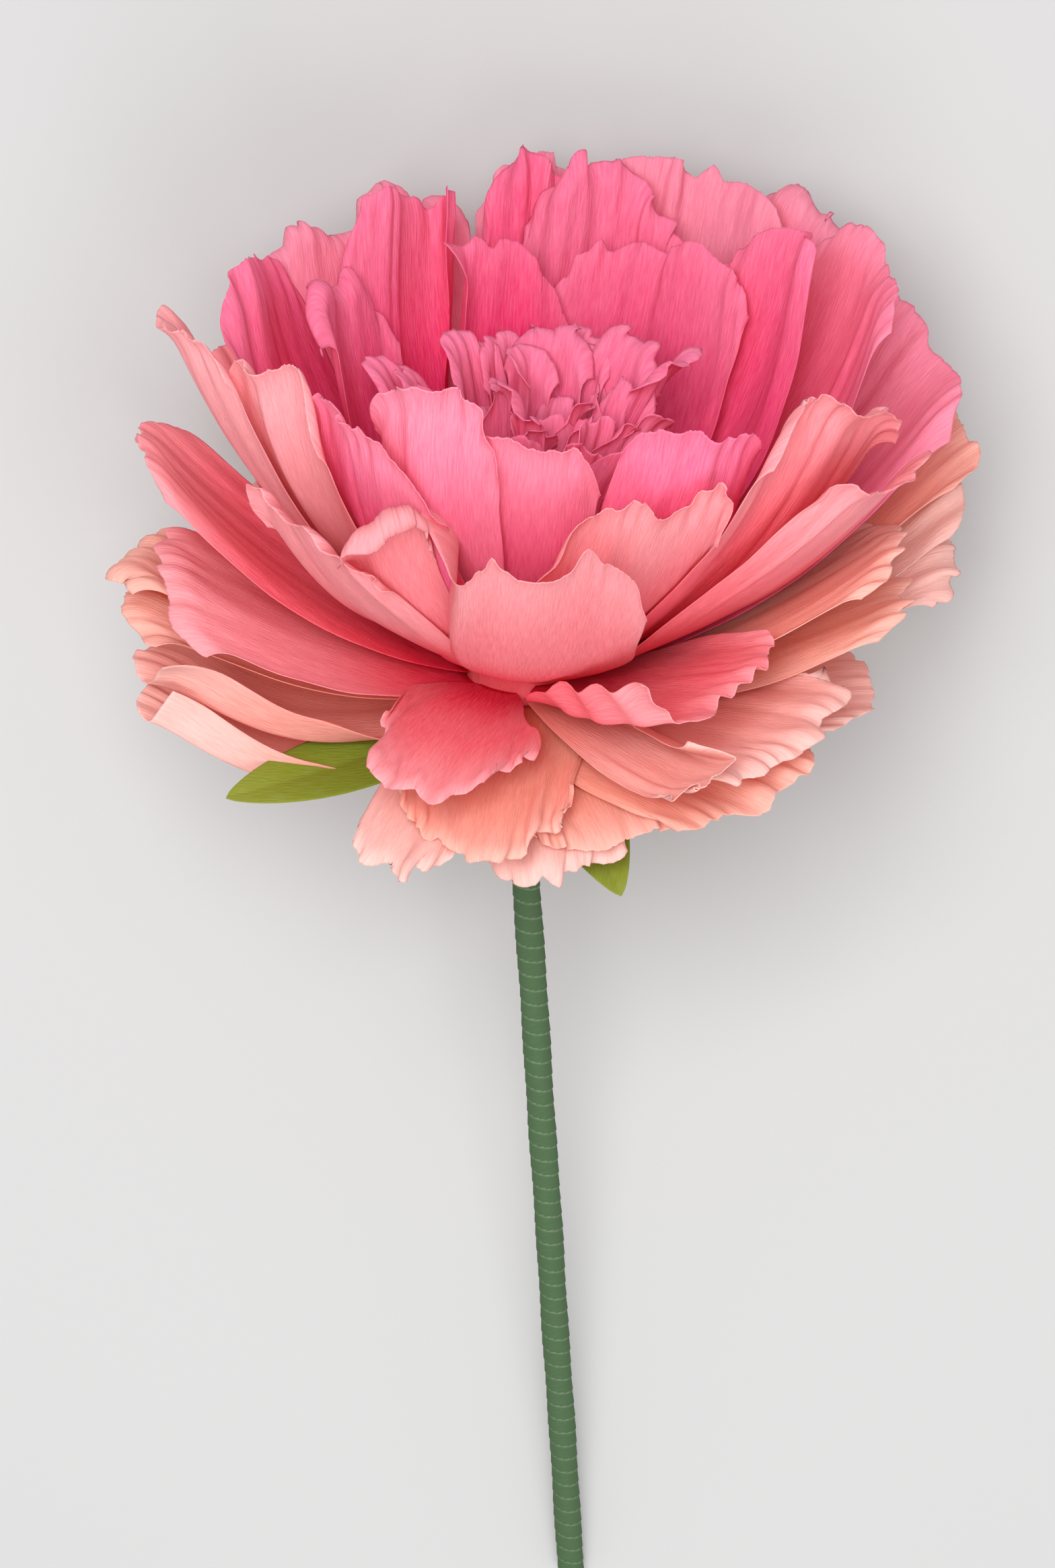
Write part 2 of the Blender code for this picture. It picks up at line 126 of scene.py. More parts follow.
# Paper, ring, azimuth, length and width in mm, corner, cup, folds, depth, phase, curl and play, as in the solids.
# A few petals lie a little beside their solids.
PETALS = (
    ("pink", 2.95, -4, 202, 94, 0.08, 0.5, 1, 0.4, 0.5, 0.3, 0.14),
    ("pink", 3.27, -27, 240, 86, 0.10, 0.4, 1, 0.5, 2.0, 0.2, 0.12),
    ("pink", 3.60, -42, 222, 112, 0.10, 0.3, 1, 0.4, 1.0, 0.2, 0.13),
    ("coral", 3.58, 26, 196, 134, 0.10, 0.2, 2, 0.7, 0.4, 0.4, 0.13),
    ("coral", 4.20, 2, 232, 162, 0.20, 0.2, 1, 0.4, 3.1, 0.3, 0.12),
    ("coral", 3.86, -31, 226, 48, 0.10, 0.8, 1, 0.3, 1.5, 0.2, 0.10),
    ("coral", 4.06, -66, 243, 86, 0.12, 0.2, 2, 0.4, 0.2, 0.2, 0.12),
    ("coral", 4.32, -48, 206, 98, 0.12, 0.2, 1, 0.4, 2.6, 0.2, 0.12),
    ("blush", 4.52, -82, 283, 92, 0.12, 0.3, 1, 0.5, 0.6, 0.5, 0.07),
    ("coral", 5.36, -89, 240, 116, 0.10, 0.3, 1, 0.5, 2.2, 0.4, 0.14),
    ("pink", 5.92, -77, 200, 136, 0.10, 0.3, 2, 0.4, 1.2, 0.3, 0.14),
    ("peach", 6.60, -92, 228, 112, 0.10, 0.3, 1, 0.6, 0.1, 0.5, 0.14),
    ("peach", 7.10, -90, 212, 114, 0.10, 0.3, 2, 0.5, 1.9, 0.4, 0.13),
    ("blush", 7.50, -83, 201, 116, 0.10, 0.4, 2, 0.4, 0.7, 0.3, 0.13),
    ("blush", 7.95, -78, 203, 92, 0.10, 0.5, 1, 0.6, 2.8, 0.4, 0.14),
    ("coral", 5.02, 46, 150, 140, 0.10, 0.8, 2, 0.4, 1.4, 0.3, 0.12),
    ("blush", 6.34, 57, 178, 134, 0.10, 0.4, 2, 0.5, 0.3, 0.3, 0.10),
    ("blush", 6.15, 38, 172, 66, 0.10, 0.8, 1, 0.4, 2.1, 0.1, 0.10),
    ("peach", 7.04, 52, 158, 136, 0.10, 0.3, 2, 0.6, 1.1, 0.4, 0.11),
    ("peach", 7.44, 24, 138, 136, 0.10, 0.2, 2, 0.6, 0.9, 0.4, 0.13),
    ("coral", 5.70, -13, 138, 126, 0.08, 0.2, 2, 0.5, 0.2, 0.5, 0.13),
    ("peach", 6.90, -4, 165, 148, 0.08, 0.2, 2, 0.6, 1.8, 0.5, 0.10),
    ("blush", 7.20, -19, 167, 64, 0.10, 0.2, 2, 0.7, 0.5, 0.4, 0.11),
    ("blush", 7.80, 8, 142, 144, 0.10, 0.2, 2, 0.6, 2.4, 0.5, 0.13),
    ("hot_pink", 3.28, 40, 222, 94, 0.10, 0.5, 1, 0.6, 1.0, 0.2, 0.12),
    ("coral", 4.10, 70, 262, 116, 0.12, 0.2, 2, 0.4, 0.1, 0.3, 0.11),
    ("coral", 4.62, 76, 251, 120, 0.10, 0.3, 1, 0.5, 1.6, 0.3, 0.11),
    ("peach", 5.48, 94, 214, 134, 0.10, 0.3, 1, 0.4, 2.5, 0.3, 0.11),
    ("peach", 6.06, 97, 208, 138, 0.08, 0.2, 1, 0.3, 0.5, 0.4, 0.10),
    ("blush", 7.32, 93, 186, 130, 0.10, 0.2, 2, 0.5, 1.5, 0.4, 0.12),
    ("pink", 4.31, 114, 302, 138, 0.10, 0.4, 1, 0.5, 2.2, 0.4, 0.11),
    ("pink", 5.20, 118, 294, 140, 0.10, 0.3, 2, 0.5, 0.9, 0.4, 0.11),
    ("peach", 5.77, 116, 286, 118, 0.10, 0.3, 1, 0.5, 0.3, 0.3, 0.11),
    ("blush", 6.36, 119, 276, 116, 0.10, 0.2, 1, 0.6, 1.7, 0.4, 0.10),
    ("blush", 6.67, 111, 256, 78, 0.10, 0.4, 1, 0.4, 2.6, 0.5, 0.10),
    ("hot_pink", 2.95, -166, 229, 84, 0.08, 0.7, 1, 0.4, 0.4, 0.2, 0.14),
    ("hot_pink", 3.28, 156, 245, 144, 0.08, 0.6, 1, 0.3, 1.1, 0.3, 0.13),
    ("hot_pink", 3.32, -115, 237, 84, 0.08, 0.5, 1, 0.6, 2.0, 0.4, 0.13),
    ("hot_pink", 3.62, -142, 267, 106, 0.08, 0.3, 2, 0.6, 0.6, 0.5, 0.13),
    ("hot_pink", 4.22, -172, 300, 56, 0.10, 0.4, 2, 0.6, 1.9, 0.2, 0.12),
    ("hot_pink", 3.92, 170, 294, 116, 0.10, 0.3, 2, 0.7, 0.2, 0.3, 0.12),
    ("hot_pink", 3.64, 126, 284, 126, 0.10, 0.4, 2, 0.5, 1.3, 0.3, 0.13),
    ("hot_pink", 4.30, -108, 268, 116, 0.10, 0.3, 1, 0.6, 2.9, 0.3, 0.10),
    ("pink", 4.62, 159, 316, 160, 0.08, 0.2, 2, 0.6, 0.7, 0.3, 0.08),
    ("pink", 4.90, 141, 325, 140, 0.08, 0.2, 2, 0.6, 2.3, 0.4, 0.09),
    ("pink", 5.02, -177, 316, 92, 0.08, 0.3, 1, 0.6, 1.4, 0.3, 0.11),
    ("pink", 4.44, -139, 290, 156, 0.08, 0.2, 2, 0.6, 0.1, 0.3, 0.09),
    ("coral", 5.74, -134, 258, 150, 0.10, 0.3, 2, 0.5, 1.0, 0.3, 0.13),
    ("coral", 5.42, 174, 262, 150, 0.10, 0.3, 2, 0.5, 1.9, 0.3, 0.13),
    ("peach", 7.02, 138, 246, 130, 0.10, 0.3, 2, 0.5, 0.5, 0.3, 0.12),
    ("peach", 6.85, -152, 240, 140, 0.10, 0.3, 2, 0.5, 2.4, 0.3, 0.13),
    ("blush", 7.74, 146, 246, 130, 0.10, 0.2, 1, 0.4, 1.5, 0.2, 0.12),
    ("blush", 7.74, -144, 238, 130, 0.10, 0.2, 1, 0.4, 1.5, 0.2, 0.12),
)

# Paper colours, from the root of a petal over its body to its rim. The deep, saturated root colours are painted
# shade, for the shade that gathers in the recesses round the bases of petals and leaves
PAPERS_WITH_ROOT_SHADE = {
    "hot_pink": ("#FF1256", "#FF508C", "#FF92B8"),
    "pink": ("#FF2C64", "#FF74A2", "#FFA8C2"),
    "coral": ("#FF3C60", "#FF8694", "#FFBAC0"),
    "peach": ("#FF846C", "#FFB09A", "#FFD2C4"),
    "blush": ("#FFA092", "#FFC4BA", "#FFDCD4"),
    "leaf_green": ("#74882A", "#8EA034", "#A6B34A"),
}

# Finishes of single petals. What a petal has no word for is drawn by chance or left out.
#   rim       places across the petal and how far its rim stands out there, in mm
#   scallop   how much of the chance scallops the rim keeps
#   waist     a side (-1 or 1) and the share by which it is narrowed below the rim
#   ruffle    a side that is waved, the height and the pitch of its waves in mm
#   sag       how far the petal's middle hangs down, in mm
#   twist     degrees about its middle line, with the edge at across = 1 going outward
#   fold      a side, the share of the half width that is folded over, and the degrees
#   curl      degrees at the rim, outward when positive, its share of the length and its lean to one side
#   pleats    depth in mm of the long pleats down the petal
#   flutes    depth in mm of the short waves at the rim
#   creases   how much of the chance creases is kept
#   dye       the paper whose colours the petal has, if not its own
#    tone_and_shade how far the body's colour is moved to the rim's; below 0 it deepens, as painted shade on
#    coral_petal_06
FINISHES = {
    "hot_pink_petal_01": {"twist": -20},
    "hot_pink_petal_02": {
        "rim": ((-1, -34), (-0.52, -18), (-0.31, -8), (-0.05, -2), (0.19, 1), (0.33, -2), (0.57, 9), (1, 0)),
        "fold": (1, 0.3, -70), "curl": (30, 0.06, 0.6), "pleats": 1.6,
    },
    "hot_pink_petal_03": {
        "rim": ((-1, -4), (-0.88, 6), (-0.64, 3), (-0.4, 7), (0, -5), (0.2, -1), (0.43, -10), (0.5, -3),
                (0.69, -12), (0.8, -25), (1, -40)),
        "curl": (26, 0.07, 0), "pleats": 0.5, "flutes": 1.2,
    },
    "hot_pink_petal_04": {
        "rim": ((-1, -40), (-0.79, -30), (-0.6, -11), (-0.4, 0), (-0.07, -7), (0.3, 4), (0.6, 8), (1, -6)),
        "waist": (-1, 0.5), "curl": (120, 0.1, 0.9), "pleats": 1.0,
    },
    "hot_pink_petal_05": {
        "rim": ((-1, 26), (-0.57, 2), (-0.35, -8), (-0.14, 2), (0.6, 10), (0.71, 13), (0.78, 2), (1, -20)),
        "waist": (-1, 0.6), "fold": (-1, 0.44, -120), "curl": (24, 0.06, 0), "pleats": 0.7,
    },
    "hot_pink_petal_06": {
        "rim": ((-1, -24), (-0.6, -8), (-0.2, 1), (0, 4), (0.3, 0), (0.6, -4), (0.8, -10), (1, -26)),
        "pleats": 2.4, "flutes": 1.4,
    },
    "hot_pink_petal_07": {
        "rim": ((-1, -40), (-0.52, -22), (-0.4, -13), (-0.14, -2), (-0.05, 7), (0.17, 1), (0.29, -3),
                (0.38, 7), (0.55, -2), (0.86, -6), (1, -14)),
        "pleats": 2.4,
    },
    "hot_pink_petal_08": {
        "rim": ((-1, 16), (-0.95, 24), (-0.67, 10), (0.05, 5), (0.14, -2), (0.31, -10), (0.55, -21),
                (0.62, -32), (1, -40)),
        "pleats": 0.8,
    },
    "hot_pink_petal_09": {"rim": ((-1, 10), (-0.83, 3), (0, -2), (0.55, 4), (1, 0)), "pleats": 1.2},
    "pink_petal_01": {
        "rim": ((-1, -14), (-0.75, 1), (-0.2, 0), (0.1, -3), (0.65, 4), (1, -16)), "curl": (35, 0.08, 0),
    },
    "pink_petal_02": {
        "rim": ((-1, -20), (-0.6, -2), (-0.1, 5), (0.4, 0), (1, -26)), "curl": (40, 0.1, 0), "tone_and_shade": 0.4,
    },
    "pink_petal_03": {"rim": ((-1, 4), (-0.3, 0), (0.2, 2), (1, -34)), "twist": 5, "pleats": 0.6},
    "pink_petal_04": {"pleats": 0.5, "dye": "coral", "tone_and_shade": 0.5},
    "pink_petal_05": {
        "rim": ((-1, 8), (-0.4, 0), (0, 3), (0.14, 14), (0.3, 18), (0.5, 13), (0.6, 10), (0.66, 4), (1, -10)),
        "curl": (40, 0.08, 0), "flutes": 0.6, "tone_and_shade": 0.2,
    },
    "pink_petal_06": {"rim": ((-1, 0), (-0.07, 1), (0.07, 7), (0.24, 10), (0.36, 10), (1, 0)), "flutes": 0.6},
    "pink_petal_07": {
        "rim": ((-1, -6), (-0.6, -2), (-0.43, 0), (-0.24, -3), (-0.14, 5), (-0.02, -3), (0.07, 2), (0.3, -1),
                (0.5, -5), (0.67, -11), (1, -14)),
        "tone_and_shade": 0.3,
    },
    "pink_petal_08": {
        "rim": ((-1, -20), (-0.36, -7), (-0.29, 1), (-0.17, -2), (-0.1, 6), (0.29, 8), (0.45, 4), (0.5, -6),
                (1, -16)),
        "curl": (80, 0.07, 0), "tone_and_shade": 0.4,
    },
    "pink_petal_09": {"rim": ((-1, -20), (-0.05, -8), (0, 1), (0.5, 0), (0.6, -4), (1, -10)), "tone_and_shade": 0.7},
    "pink_petal_10": {
        "rim": ((-1, 8), (-0.86, 8), (-0.76, 3), (-0.69, -2), (-0.55, -6), (-0.48, -1), (-0.38, 4),
                (-0.21, 8), (-0.12, 0), (0.07, -20), (0.2, -17), (0.33, -13), (0.48, -4), (0.6, -1),
                (0.66, -10), (1, -24)),
        "curl": (110, 0.07, 0), "tone_and_shade": 0.5,
    },
    "coral_petal_01": {
        "rim": ((-1, -24), (-0.5, 0), (-0.2, 8), (0.12, -8), (0.35, -6), (0.72, 17), (1, -20)),
        "curl": (30, 0.07, 0),
    },
    "coral_petal_02": {
        "rim": ((-1, -88), (-0.88, -72), (-0.7, -44), (-0.5, -24), (-0.41, -12), (-0.33, 2), (-0.12, -9),
                (0.1, -13), (0.21, -10), (0.31, 4), (0.48, -13), (0.57, -16), (0.83, -18), (1, -22)),
        "fold": (-1, 0.46, -56), "curl": (16, 0.06, 0), "pleats": 0.4, "flutes": 0.5, "creases": 0.6,
        "tone_and_shade": 0.3,
    },
    "coral_petal_03": {
        "rim": ((-1, -40), (-0.5, -12), (0, 0), (0.5, 0), (1, -12)), "twist": 34, "curl": (290, 0.18, 0.75),
        "pleats": 0.3, "flutes": 0.2, "creases": 0.2, "tone_and_shade": 0.4,
    },
    "coral_petal_04": {
        "rim": ((-1, -8), (-0.5, 5), (0, 0), (0.5, 2), (1, -10)), "twist": 20, "pleats": 0.5, "tone_and_shade": 0.9,
    },
    "coral_petal_05": {
        "rim": ((-1, -16), (-0.45, 9), (0.05, -8), (0.4, 2), (1, -26)), "twist": 20, "tone_and_shade": 0.75,
    },
    # painted shade: this petal's body is made deeper and darker for the shade it lies in under its neighbours
    "coral_petal_06": {"pleats": 0.7, "creases": 0.7, "tone_and_shade": -0.2},
    "coral_petal_07": {
        "rim": ((-1, -4), (-0.5, 6), (-0.1, -5), (0.3, 6), (0.6, -4), (1, 0)), "ruffle": (-1, 2.2, 30),
        "fold": (-1, 0.36, -70), "flutes": 1.8,
    },
    "coral_petal_08": {
        "rim": ((-1, -30), (-0.74, -14), (-0.5, 26), (-0.35, 20), (-0.17, 8), (0.05, 14), (0.19, 2),
                (0.45, -10), (0.64, -30), (1, -46)),
        "scallop": 1.5, "waist": (1, 0.5), "curl": (45, 0.08, -0.2), "pleats": 2.2, "flutes": 1.6,
    },
    "coral_petal_09": {"twist": -20, "curl": (60, 0.1, 0.3), "tone_and_shade": -0.1},
    "coral_petal_10": {"twist": -26},
    "peach_petal_01": {"curl": (150, 0.12, -0.5), "creases": 0.5, "tone_and_shade": 0.4},
    "peach_petal_02": {"pleats": 0.4, "flutes": 0.9, "creases": 0.4, "tone_and_shade": 0.3},
    "peach_petal_03": {
        "rim": ((-1, -12), (-0.74, -1), (-0.33, -5), (-0.05, 12), (0.14, 4), (0.43, 14), (0.74, 10), (1, -10)),
        "pleats": 0.7, "flutes": 1.8,
    },
    "peach_petal_04": {
        "rim": ((-1, -24), (-0.31, -14), (-0.02, -6), (0.26, -9), (0.6, -3), (0.86, 6), (1, 4)),
        "scallop": 1.3, "flutes": 2.0,
    },
    "peach_petal_05": {
        "rim": ((-1, -36), (-0.57, -26), (-0.45, -20), (-0.36, -24), (-0.14, -21), (-0.05, -12), (0.17, -12),
                (0.4, -28), (0.76, -44), (1, -53)),
        "scallop": 1.4, "curl": (50, 0.08, 0.5), "pleats": 1.6, "flutes": 1.8,
    },
    "peach_petal_06": {"twist": -7, "pleats": 0.4, "flutes": 0.9, "creases": 0.4, "tone_and_shade": 0.6},
    "peach_petal_07": {"pleats": 0.4, "flutes": 0.9, "creases": 0.4, "tone_and_shade": 0.6},
    "blush_petal_01": {"twist": 14, "curl": (40, 0.08, 0), "creases": 0.6, "dye": "coral", "tone_and_shade": 0.8},
    "blush_petal_02": {
        "rim": ((-1, -46), (-0.6, -18), (-0.2, -12), (0.2, 0), (0.6, 0), (1, -6)), "sag": 24,
        "fold": (1, 0.4, -66), "pleats": 0.5, "flutes": 0.9, "creases": 0.3, "tone_and_shade": -0.6,
    },
    "blush_petal_03": {
        "rim": ((-1, -40), (-0.5, -16), (0.1, -4), (0.5, 2), (1, -4)), "sag": 40, "fold": (1, 0.4, -76),
        "pleats": 0.5, "flutes": 0.9, "creases": 0.3, "tone_and_shade": -0.4,
    },
    "blush_petal_04": {
        "rim": ((-1, -28), (-0.76, -14), (-0.48, -17), (-0.19, -15), (0.1, -4), (0.38, -7), (0.5, -1),
                (0.88, 8), (1, 0)),
        "scallop": 1.3, "pleats": 0.6, "flutes": 1.8, "creases": 0.6, "tone_and_shade": -0.3,
    },
    "blush_petal_05": {"fold": (1, 0.6, -150), "curl": (-40, 0.3, 0)},
    "blush_petal_06": {
        "rim": ((-1, -7), (-0.93, 4), (-0.48, -4), (-0.19, -9), (0.33, 12), (0.43, 9), (0.64, -5), (1, -16)),
        "scallop": 1.4, "pleats": 1.8, "flutes": 1.8,
    },
    "blush_petal_07": {
        "rim": ((-1, -34), (-0.67, -24), (-0.38, -19), (-0.24, -7), (-0.05, -4), (0.07, -8), (0.26, -2),
                (0.33, -14), (0.67, -10), (1, -12)),
        "scallop": 1.4, "pleats": 1.6, "flutes": 1.9, "tone_and_shade": -0.2,
    },
    "blush_petal_08": {"pleats": 0.5, "flutes": 0.9, "creases": 0.5, "tone_and_shade": 0.2},
    "blush_petal_11": {
        "rim": ((-1, -8), (0, -2), (1, -8)), "curl": (-12, 0.1, 0), "pleats": 0.3, "flutes": 0.3,
    },
    "blush_petal_12": {
        "rim": ((-1, -8), (0, -2), (1, -8)), "curl": (-12, 0.1, 0), "pleats": 0.3, "flutes": 0.3,
    },
}


def linear(hexed):
    """A colour from its #RRGGBB web form, as the shader's linear values."""
    share = np.array([int(hexed[i:i + 2], 16) for i in (1, 3, 5)]) / 255
    return np.where(share <= 0.04045, share / 12.92, ((share + 0.055) / 1.055) ** 2.4)


def unit(vectors):
    """The same vectors at length 1."""
    return vectors / np.maximum(np.linalg.norm(vectors, axis=-1, keepdims=True), 1e-12)


def ramp(value, low, high):
    """0 up to low, 1 from high, and smooth between."""
    share = np.clip((value - low) / (high - low), 0, 1)
    return share * share * (3 - 2 * share)


# The bloom's axes in the world
def lying_axes():
    """The camera's three directions and the bloom's own axes in the world."""
    rise, view, turn = map(math.radians, (BLOOM_RISE_DEG, VIEW_FROM_AXIS_DEG, BLOOM_TURN_DEG))
    reach = math.hypot(math.cos(view), math.sin(view) * math.cos(turn))
    tilt = math.acos(math.sin(rise) / reach) - math.atan2(math.sin(view) * math.cos(turn), math.cos(view))
    toward = Vector((0, math.sin(tilt), math.cos(tilt)))
    up = Vector((0, math.cos(tilt), -math.sin(tilt)))
    right = Vector((1, 0, 0))
    axis = math.cos(view) * toward + math.sin(view) * (math.cos(turn) * up + math.sin(turn) * right)
    front = (toward - toward.dot(axis) * axis).normalized()
    side = axis.cross(front)
    return toward, up, right, np.array((side, -front, axis)).T


TOWARD, UP, RIGHT, TURNED = lying_axes()
stem_end = frame["record"]["mounts"][0]
STEM_DIRECTION = Vector(stem_end["axis"]).normalized()
BLOOM_BASE = Vector(stem_end["pos_m"]) - STEM_DIRECTION * STEM_LENGTH


def in_world(points):
    """Bloom points as world points."""
    return points @ TURNED.T + np.array(BLOOM_BASE)


def field_angles(ring, azimuth):
    """Rise at the base, rise at the end of the turn and the length of the turn."""
    table = np.array(OPENING)
    at = np.arange(len(table))
    columns = [np.interp(ring, at, table[:, i]) for i in range(table.shape[1])]
    front = np.maximum(np.cos(azimuth), 0) ** 2
    back = np.maximum(-np.cos(azimuth), 0) ** 2
    side = np.sin(azimuth) ** 2
    base = columns[0] * front + columns[2] * side + columns[4] * back
    tip = columns[1] * front + columns[3] * side + columns[5] * back
    return np.radians(base), np.radians(tip), columns[6]


def field_profile(ring, azimuth, distance):
    """Radius and height of a point of the field."""
    base, tip, turn = field_angles(ring, azimuth)
    bend = (tip - base) / turn
    from_top = np.radians(FIRST_RING_DEG + RING_STEP_DEG * ring)
    start_radius = (CORE_RADIUS + BASE_GAP) * np.sin(from_top)
    start_height = CORE_MIDDLE + (CORE_HALF_HEIGHT + BASE_GAP) * np.cos(from_top)
    chord = distance * np.sinc(bend * distance / (2 * math.pi))
    slope = base + bend * distance / 2
    return start_radius + chord * np.cos(slope), start_height + chord * np.sin(slope)


def field_point(ring, azimuth, distance):
    """Points of the field about the bloom's own axis, with its folds."""
    turn = field_angles(ring, azimuth)[2]
    depth = FOLD_DEPTH * np.clip(distance / turn, 0, 1) ** FOLD_GROWTH
    folded = ring + depth * np.cos(FOLD_COUNT * azimuth + FOLD_DRIFT * ring)
    radius, height = field_profile(folded, azimuth, distance)
    return np.stack([radius * np.sin(azimuth), -radius * np.cos(azimuth), height], -1)


# Working paper
def face_normals(points):
    """Unit normals of a grid of points, away from the bloom's axis on a petal."""
    along = np.gradient(points, axis=0)
    across = np.gradient(points, axis=1)
    return unit(np.cross(across, along))


def curled(points, first, heading):
    """The grid with its rows past the first one laid anew, turned by the heading in radians."""
    laid = points.copy()
    forward = unit(points[first] - points[first - 2])
    sideways = unit(np.gradient(points[first], axis=0))
    outward = unit(np.cross(sideways, forward))
    step = np.linalg.norm(np.diff(points[first:], axis=0), axis=-1)
    for row in range(first + 1, len(points)):
        turn = heading[row - first - 1][:, None]
        stride = step[row - first - 1][:, None]
        laid[row] = laid[row - 1] + stride * (np.cos(turn) * forward + np.sin(turn) * outward)
    return laid


def curl_rim(points, along, degrees, share, lean):
    """Roll the rim of a petal over."""
    first = int(np.searchsorted(along, 1 - share))
    side = np.linspace(-1, 1, points.shape[1])
    strength = np.clip(1 + lean * side, 0, 2) if lean else np.ones_like(side)
    progress = np.linspace(0, 1, len(points) - first)[1:, None] ** 1.2
    return curled(points, first, math.radians(degrees) * progress * strength)


def fold_side(points, side, share, degrees, along):
    """Fold one side of a petal over, more towards its rim."""
    turned = points.transpose(1, 0, 2)
    if side < 0:
        turned = turned[::-1]
    first = int(len(turned) * (1 - share / 2))
    progress = ramp(np.linspace(0, 1, len(turned) - first)[1:, None], -0.05, 0.32)
    weight = ramp(along, 0.15, 0.55)[None]
    folded = curled(turned, first, side * -math.radians(degrees) * progress * weight)
    if side < 0:
        folded = folded[::-1]
    return folded.transpose(1, 0, 2)


def twisted(points, degrees, along):
    """The petal turned about its own middle line, more and more from its base to its middle."""
    middle = points[:, points.shape[1] // 2][:, None]
    axis = unit(np.gradient(middle, axis=0))
    turn = math.radians(degrees) * ramp(along, -0.15, 0.55)[:, None, None]
    arm = points - middle
    return (middle + arm * np.cos(turn) + np.cross(axis, arm) * np.sin(turn)
            + axis * (arm * axis).sum(-1, keepdims=True) * (1 - np.cos(turn)))


def rim_line(across, stations):
    """How far the rim stands out at each place across, smooth between its stations."""
    places, heights = zip(*stations)
    line = np.full(across.shape, float(heights[0]))
    for place, following, low, high in zip(places, places[1:], heights, heights[1:]):
        line = line + (high - low) * ramp(across, place, following)
    return line


def scallops(chance, width):
    """Stations of an uneven, softly scalloped rim, in mm: small waves on a few broad lobes."""
    count = int(width / chance.uniform(0.010, 0.015))
    places = np.linspace(-1, 1, count) + chance.uniform(-0.6, 0.6, count) / count
    swing = np.where(np.arange(count) % 2, 1.0, -1.0) * chance.uniform(0.3, 2.0, count)
    lobes = chance.uniform(2.0, 4.5) * np.sin(places * width * chance.uniform(70, 110) + chance.uniform(0, 6))
    return tuple(zip(places, swing + lobes))


def petal_grid(petal, finish, chance):
    """Points, cut-sheet places and place along of one petal."""
    _, ring, azimuth, length, width, corner, cup, folds, depth, phase, curl, play = petal
    length, width = length / 1000, width / 1000
    across = np.linspace(-1, 1, PETAL_ACROSS + 1)[None]
    along = 1 - (1 - np.linspace(0, 1, PETAL_ALONG + 1)[:, None]) ** RIM_DENSITY
    rim = rim_line(across, scallops(chance, width)) * finish.get(
        "scallop", SCALLOP_BESIDE_RIM if "rim" in finish else 1.0)
    if "rim" in finish:
        rim = rim + rim_line(across, finish["rim"])
    rim = (rim + FRINGE_MM * chance.standard_normal(across.shape)) / 1000
    end = length * (1 - corner * np.abs(across) ** CORNER_POWER) + rim
    distance = along * end
    spread = np.sin(np.minimum(along / WIDEST_AT, 1) * math.pi / 2) ** SPREAD_POWER
    narrowing = 1 - TIP_NARROWING * np.maximum(along - WIDEST_AT, 0) / (1 - WIDEST_AT)
    half = (PETAL_BASE_WIDTH + (width - PETAL_BASE_WIDTH) * spread) * narrowing / 2
    middle_radius, _ = field_profile(ring, math.radians(azimuth), along * length)
    if "waist" in finish:
        side, share = finish["waist"]
        half = half * (1 - share * ramp(side * across, -0.2, 0.6) * (1 - ramp(along, 0.35, 0.92)))
    bites = chance.uniform(0.3, 1.0, 2)[:, None, None] * np.sin(
        distance / chance.uniform(0.006, 0.012, 2)[:, None, None] + chance.uniform(0, 6, 2)[:, None, None])
    ragged = np.where(across < 0, bites[0], bites[1]) * EDGE_BITE * np.abs(across) ** EDGE_POWER * along
    if "ruffle" in finish:
        side, height, pitch = finish["ruffle"]
        near = ramp(side * across, 0.1, 1.0) * ramp(along, 0.15, 0.4)
        ragged = ragged + near * height / 1000 * np.sin(2000 * math.pi * distance / pitch)
    angle = math.radians(azimuth) + across * (half + ragged) / middle_radius
    wave = cup * (CUP_BALANCE - across ** 2) * along
    wave = wave + depth * np.cos(math.pi * folds * across + phase) * along ** WAVE_GROWTH
    wave = wave + curl * along ** CURL_GROWTH
    points = field_point(ring + play * np.tanh(wave), angle, distance)
    sheet = np.stack(np.broadcast_arrays(across * half, distance), -1)
    return points, sheet, along


